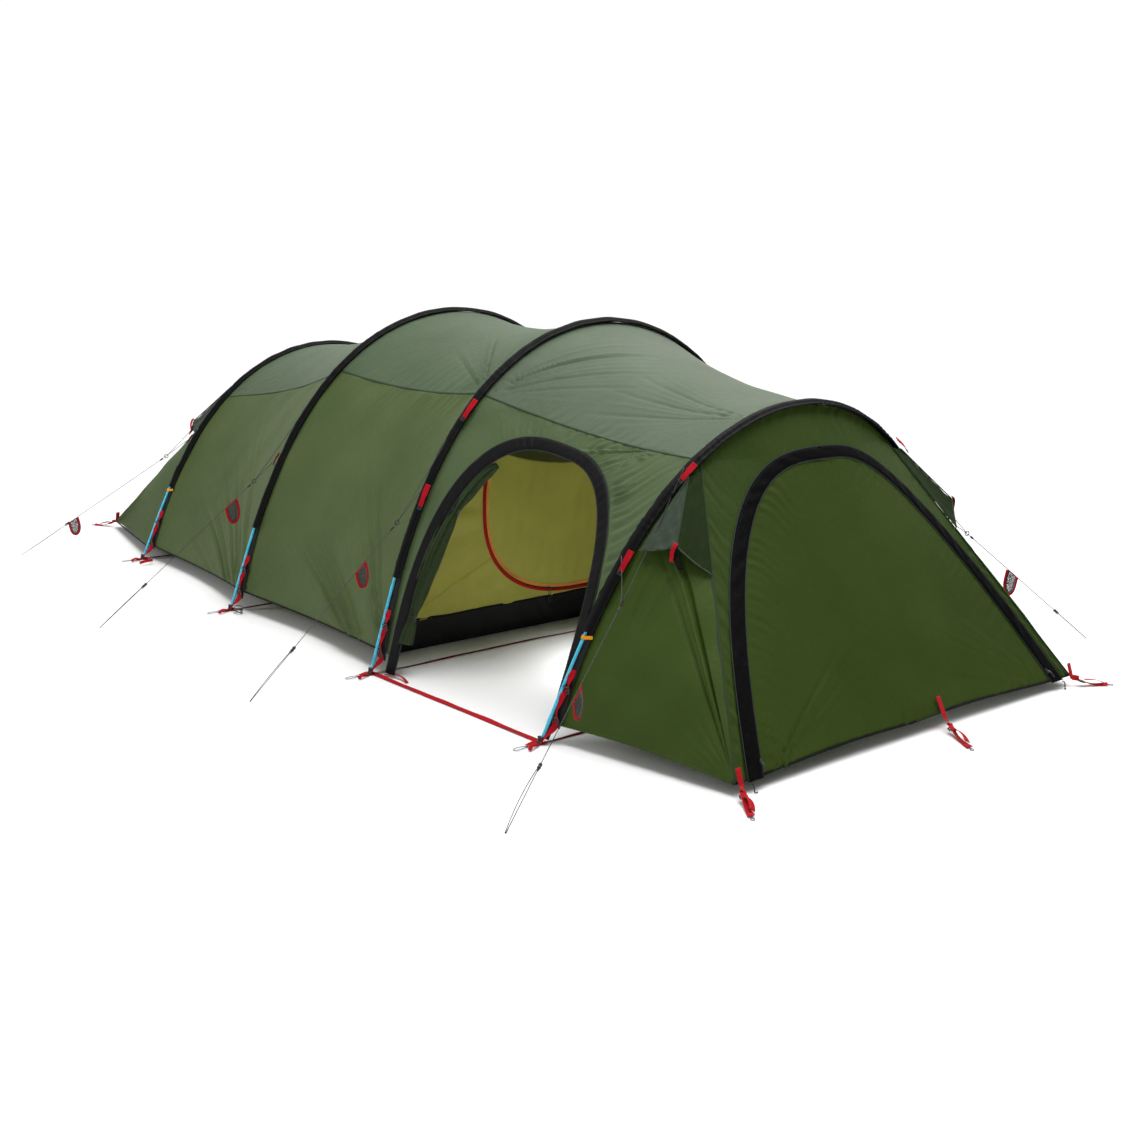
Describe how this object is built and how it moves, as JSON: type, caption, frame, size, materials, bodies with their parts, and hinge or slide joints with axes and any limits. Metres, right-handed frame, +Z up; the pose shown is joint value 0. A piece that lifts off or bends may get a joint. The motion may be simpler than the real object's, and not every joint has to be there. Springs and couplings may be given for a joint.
{
  "type": "tunnel tent",
  "caption": "Tunnel tent: fabric fly over arched poles, hung inner cabin, front porch with side doors, vent hoods, webbing feet and guy lines.",
  "frame": {"origin": "on the ground under the middle of the tent, measured between the tips of the end peg straps", "axes": "+X along the tent towards the front porch, +Y towards the far side, +Z up"},
  "size_m": [5.024, 3.3236, 1.25],
  "materials": {
    "fly_roof": "coated ripstop, slight sheen",
    "fly_side": "coated ripstop, slight sheen",
    "fly_end": "coated ripstop, slight sheen",
    "inner": "breathable nylon, dull",
    "tub": "coated groundsheet, dull",
    "sleeve": "woven polyester, dull",
    "pole": "anodised",
    "webbing": "woven webbing",
    "cord": "braided cord",
    "plastic": "moulded"
  },
  "bodies": {
    "tent": {"fly_roof_porch": "fly_roof", "fly_roof_rear": "fly_roof", "fly_side_far": "fly_side", "fly_side_near": "fly_side", "foot_strap_1": "webbing", "foot_strap_2_far": "webbing", "foot_strap_2_near": "webbing", "foot_strap_3": "webbing", "foot_strap_4": "webbing", "front_corner_far": "fly_end", "front_corner_near": "fly_end", "front_header": "fly_end", "front_hem_strap": "webbing", "front_vent_hood_far": "fly_end", "front_vent_hood_near": "fly_end", "guy_line_1_far": "cord", "guy_line_1_near": "cord", "guy_line_2_far": "cord", "guy_line_2_near": "cord", "guy_line_3_far": "cord", "guy_line_3_near": "cord", "guy_line_4_far": "cord", "guy_line_4_near": "cord", "inner_floor_tub": "tub", "inner_front_wall": "inner", "inner_rear_wall": "inner", "inner_roof": "inner", "inner_side_far": "inner", "inner_side_near": "inner", "pole_1": "pole", "pole_2": "pole", "pole_3": "pole", "pole_4": "pole", "pole_sleeve_1": "sleeve", "pole_sleeve_2": "sleeve", "pole_sleeve_3": "sleeve", "pole_sleeve_4": "sleeve", "porch_side_far": "fly_side", "porch_side_near": "fly_side", "rear_hem_strap": "webbing", "rear_vent_hood_far": "fly_end", "rear_vent_hood_near": "fly_end", "rear_wall": "fly_end", "side_door_near_rolled": "fly_side", "side_strap_far": "webbing", "side_strap_near": "webbing"},
    "front_door": {"front_door": "fly_end"},
    "side_door_far": {"side_door_far": "fly_side"},
    "inner_door": {"inner_door": "inner"},
    "front_zip_slider_near": {"front_zip_slider_near": "plastic"},
    "front_zip_slider_far": {"front_zip_slider_far": "plastic"},
    "guy_runner_1_near": {"guy_runner_1_near": "plastic"},
    "guy_runner_1_far": {"guy_runner_1_far": "plastic"},
    "guy_runner_2_near": {"guy_runner_2_near": "plastic"},
    "guy_runner_2_far": {"guy_runner_2_far": "plastic"},
    "guy_runner_3_near": {"guy_runner_3_near": "plastic"},
    "guy_runner_3_far": {"guy_runner_3_far": "plastic"},
    "guy_runner_4_near": {"guy_runner_4_near": "plastic"},
    "guy_runner_4_far": {"guy_runner_4_far": "plastic"}
  },
  "joints": [
    {"name": "front_door_hinge", "type": "hinge", "parent": "tent", "child": "front_door", "pos_m": [2.325, 0, 0.03], "axis": [0, 1, 0], "range_deg": [0, 115]},
    {"name": "side_door_far_hinge", "type": "hinge", "parent": "tent", "child": "side_door_far", "pos_m": [0.80665, 1.03993, 0.11275], "axis": [-0.0053, -0.3477, 0.9376], "range_deg": [0, 80]},
    {"name": "inner_door_hinge", "type": "hinge", "parent": "tent", "child": "inner_door", "pos_m": [0.555, 0.472, 0.52], "axis": [0, 0, 1], "range_deg": [0, 85]},
    {"name": "front_zip_near_slide", "type": "slide", "parent": "tent", "child": "front_zip_slider_near", "axis": [-0.5294, 0.3413, 0.7767], "range_m": [0, 0.3]},
    {"name": "front_zip_far_slide", "type": "slide", "parent": "tent", "child": "front_zip_slider_far", "axis": [-0.5294, -0.3413, 0.7767], "range_m": [0, 0.3]},
    {"name": "guy_runner_1_near_slide", "type": "slide", "parent": "tent", "child": "guy_runner_1_near", "axis": [0.4233, 0.7147, 0.5569], "range_m": [-0.1, 0.22]},
    {"name": "guy_runner_1_far_slide", "type": "slide", "parent": "tent", "child": "guy_runner_1_far", "axis": [0.4233, -0.7147, 0.5569], "range_m": [-0.1, 0.22]},
    {"name": "guy_runner_2_near_slide", "type": "slide", "parent": "tent", "child": "guy_runner_2_near", "axis": [0.067, 0.7774, 0.6254], "range_m": [-0.1, 0.22]},
    {"name": "guy_runner_2_far_slide", "type": "slide", "parent": "tent", "child": "guy_runner_2_far", "axis": [0.067, -0.7774, 0.6254], "range_m": [-0.1, 0.22]},
    {"name": "guy_runner_3_near_slide", "type": "slide", "parent": "tent", "child": "guy_runner_3_near", "axis": [-0.0281, 0.7439, 0.6677], "range_m": [-0.1, 0.22]},
    {"name": "guy_runner_3_far_slide", "type": "slide", "parent": "tent", "child": "guy_runner_3_far", "axis": [-0.0281, -0.7439, 0.6677], "range_m": [-0.1, 0.22]},
    {"name": "guy_runner_4_near_slide", "type": "slide", "parent": "tent", "child": "guy_runner_4_near", "axis": [-0.3685, 0.7678, 0.5242], "range_m": [-0.1, 0.22]},
    {"name": "guy_runner_4_far_slide", "type": "slide", "parent": "tent", "child": "guy_runner_4_far", "axis": [-0.283, -0.7341, 0.6173], "range_m": [-0.1, 0.22]}
  ]
}
